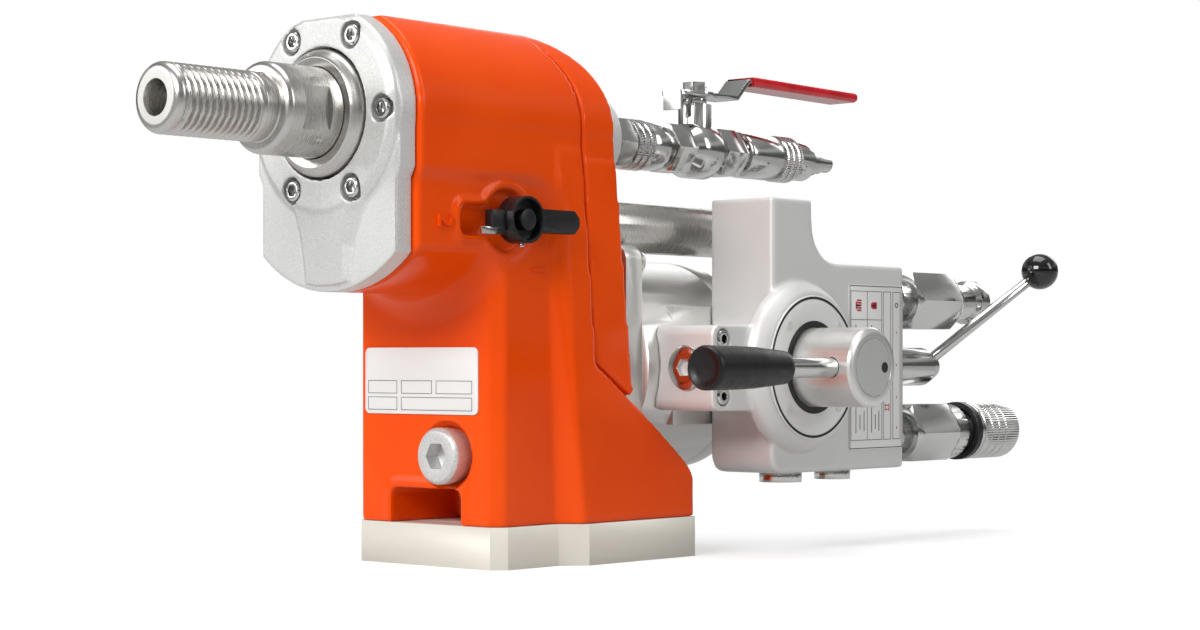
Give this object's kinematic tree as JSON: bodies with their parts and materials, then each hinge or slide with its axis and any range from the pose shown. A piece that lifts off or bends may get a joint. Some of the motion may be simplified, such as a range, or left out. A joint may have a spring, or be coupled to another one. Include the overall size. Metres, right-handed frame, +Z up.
{
  "type": "core drill rig",
  "caption": "Hydraulic core drill unit: a two-speed gear head on a foot with a threaded spindle, gear motor, valve block, levers, quick couplings and a water line.",
  "frame": {"origin": "centre of the base plate's underside", "axes": "-Y the way the threaded spindle points, +X the side with the gear lever, selector and dial, +Z up"},
  "size_m": [0.1968, 0.5599, 0.257],
  "materials": {
    "orange_powder_coat": "gloss",
    "milled_aluminium": "satin",
    "silver_paint": "satin",
    "blasted_aluminium": "matt",
    "machined_steel": "turned",
    "plated_steel": "bright",
    "dark_steel": "oiled",
    "black_plastic": "satin",
    "black_phenolic": "gloss",
    "red_vinyl": "gloss",
    "printed_foil": "satin"
  },
  "bodies": {
    "housing": {"base_plate": "milled_aluminium", "base_screws": "plated_steel", "gear_housing": "orange_powder_coat", "rear_cover": "orange_powder_coat", "rear_cover_screws": "plated_steel", "front_cover": "silver_paint", "front_cover_screws": "plated_steel", "nameplate": "printed_foil", "spindle_seal": "machined_steel", "spindle_front_bearing": "machined_steel", "spindle_rear_bearing": "machined_steel", "layshaft_bearings": "machined_steel", "fork_rail": "machined_steel", "motor_body": "milled_aluminium", "motor_end_cover": "milled_aluminium", "motor_screws": "plated_steel", "return_tube": "machined_steel", "tube_gland_nut": "plated_steel", "valve_block": "blasted_aluminium", "block_plugs": "plated_steel", "block_screws": "plated_steel", "dial_plate": "printed_foil", "spec_label": "printed_foil", "hose_adapters": "plated_steel", "return_coupling": "plated_steel", "pressure_coupling": "plated_steel", "water_swivel": "blasted_aluminium", "water_inlet_fitting": "plated_steel", "ball_valve_body": "plated_steel", "water_nipple": "plated_steel"},
    "spindle_group": {"spindle": "machined_steel", "spindle_high_gear": "dark_steel", "spindle_low_gear": "dark_steel"},
    "layshaft_group": {"layshaft": "machined_steel", "layshaft_input_gear": "dark_steel", "layshaft_high_pinion": "dark_steel"},
    "low_pinion": {"layshaft_low_pinion": "dark_steel"},
    "shift_sleeve_group": {"shift_sleeve": "machined_steel"},
    "shift_fork_group": {"shift_fork": "dark_steel"},
    "gear_lever_group": {"gear_lever": "black_plastic", "gear_lever_shaft": "machined_steel", "gear_lever_latch": "plated_steel"},
    "motor_shaft_group": {"motor_shaft": "machined_steel", "motor_pinion": "dark_steel", "motor_drive_gear": "dark_steel"},
    "motor_idler": {"motor_idler_gear": "dark_steel"},
    "clamp_bolt_group": {"clamp_bolt": "machined_steel"},
    "selector": {"selector_knob": "milled_aluminium", "selector_rod": "plated_steel", "selector_grip": "black_plastic", "selector_spool": "machined_steel"},
    "flow_lever": {"flow_lever_hub": "plated_steel", "flow_lever_rod": "plated_steel", "flow_lever_ball": "black_phenolic"},
    "coupling_sleeve": {"pressure_coupling_sleeve": "plated_steel"},
    "front_collar": {"front_water_collar": "plated_steel"},
    "rear_collar": {"rear_water_collar": "plated_steel"},
    "water_lever": {"ball_valve_ball": "plated_steel", "ball_valve_lever": "plated_steel", "ball_valve_grip": "red_vinyl"}
  },
  "joints": [
    {"name": "spindle_spin", "type": "hinge", "parent": "housing", "child": "spindle_group", "pos_m": [0, -0.1, 0.212], "axis": [0, 1, 0], "continuous": true},
    {"name": "layshaft_spin", "type": "hinge", "parent": "housing", "child": "layshaft_group", "pos_m": [0, -0.05, 0.16], "axis": [0, 1, 0], "continuous": true},
    {"name": "low_pinion_spin", "type": "hinge", "parent": "housing", "child": "low_pinion", "pos_m": [0, -0.037, 0.16], "axis": [0, 1, 0], "continuous": true},
    {"name": "motor_spin", "type": "hinge", "parent": "housing", "child": "motor_shaft_group", "pos_m": [0, 0, 0.096], "axis": [0, 1, 0], "continuous": true},
    {"name": "motor_idler_spin", "type": "hinge", "parent": "housing", "child": "motor_idler", "pos_m": [0, 0.09, 0.066], "axis": [0, 1, 0], "continuous": true},
    {"name": "gear_lever_turn", "type": "hinge", "parent": "housing", "child": "gear_lever_group", "pos_m": [0.05, -0.06015, 0.164], "axis": [1, 0, 0], "range_deg": [0, 90]},
    {"name": "shift_fork_slide", "type": "slide", "parent": "housing", "child": "shift_fork_group", "axis": [0, 1, 0], "range_m": [0, 0.0113]},
    {"name": "shift_sleeve_slide", "type": "slide", "parent": "layshaft_group", "child": "shift_sleeve_group", "axis": [0, 1, 0], "range_m": [0, 0.0113]},
    {"name": "clamp_bolt_turn", "type": "hinge", "parent": "housing", "child": "clamp_bolt_group", "pos_m": [0.015, -0.06, 0.053], "axis": [0, 1, 0], "range_deg": [0, 180]},
    {"name": "selector_turn", "type": "hinge", "parent": "housing", "child": "selector", "pos_m": [0.1, 0.1125, 0.095], "axis": [1, 0, 0], "range_deg": [-28, 28]},
    {"name": "flow_lever_turn", "type": "hinge", "parent": "housing", "child": "flow_lever", "pos_m": [0.069, 0.2068, 0.095], "axis": [0, 1, 0], "range_deg": [0, 114]},
    {"name": "coupling_sleeve_slide", "type": "slide", "parent": "housing", "child": "coupling_sleeve", "axis": [0, -1, 0], "range_m": [0, 0.008], "stiffness_N_per_m": 1500},
    {"name": "front_collar_slide", "type": "slide", "parent": "housing", "child": "front_collar", "axis": [0, 1, 0], "range_m": [0, 0.004], "stiffness_N_per_m": 1500},
    {"name": "rear_collar_slide", "type": "slide", "parent": "housing", "child": "rear_collar", "axis": [0, -1, 0], "range_m": [0, 0.004], "stiffness_N_per_m": 1500},
    {"name": "water_valve_turn", "type": "hinge", "parent": "housing", "child": "water_lever", "pos_m": [0, 0.139, 0.212], "axis": [0, 0, 1], "range_deg": [0, 90]}
  ],
  "couplings": [
    {"joint": "layshaft_spin", "follows": "spindle_spin", "ratio": -1.3636},
    {"joint": "low_pinion_spin", "follows": "spindle_spin", "ratio": -1.8889},
    {"joint": "motor_spin", "follows": "spindle_spin", "ratio": 1.5455},
    {"joint": "motor_idler_spin", "follows": "spindle_spin", "ratio": -1.5455},
    {"joint": "shift_fork_slide", "follows": "gear_lever_turn", "m_per_rad": 0.0071938},
    {"joint": "shift_sleeve_slide", "follows": "gear_lever_turn", "m_per_rad": 0.0071938}
  ]
}
